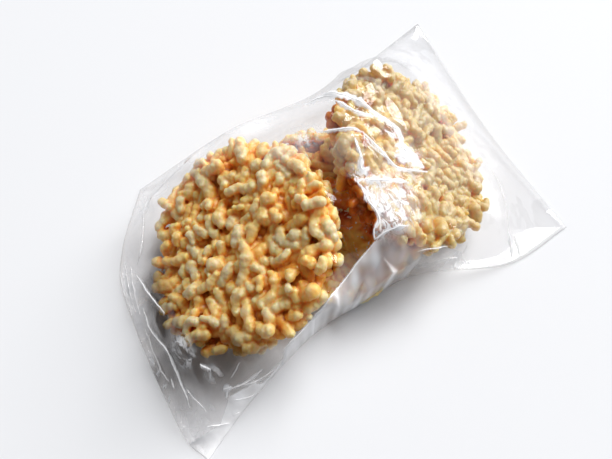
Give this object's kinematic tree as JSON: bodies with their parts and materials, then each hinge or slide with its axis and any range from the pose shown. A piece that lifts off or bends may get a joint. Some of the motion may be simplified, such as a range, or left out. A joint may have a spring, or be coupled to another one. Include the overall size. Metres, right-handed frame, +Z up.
{
  "type": "rice crackers in a clear bag",
  "caption": "Round puffed-rice crackers lying partly on each other, sealed in a clear, creased film bag with flat ends that lies on a table.",
  "frame": {"origin": "on the table, under the middle of the bag", "axes": "+X along the bag towards its lifted end, +Y across it towards the far side, +Z up"},
  "size_m": [0.1678, 0.114, 0.0465],
  "materials": {
    "puffed_rice": "cream-yellow puffed grains, golden brown in the gaps between them",
    "caramel_rice": "puffed grains under a dark amber sugar glaze",
    "clear_film": "thin, clear, glossy film with creases"
  },
  "bodies": {
    "root": {"filled_bag": "puffed_rice"}
  },
  "joints": []
}
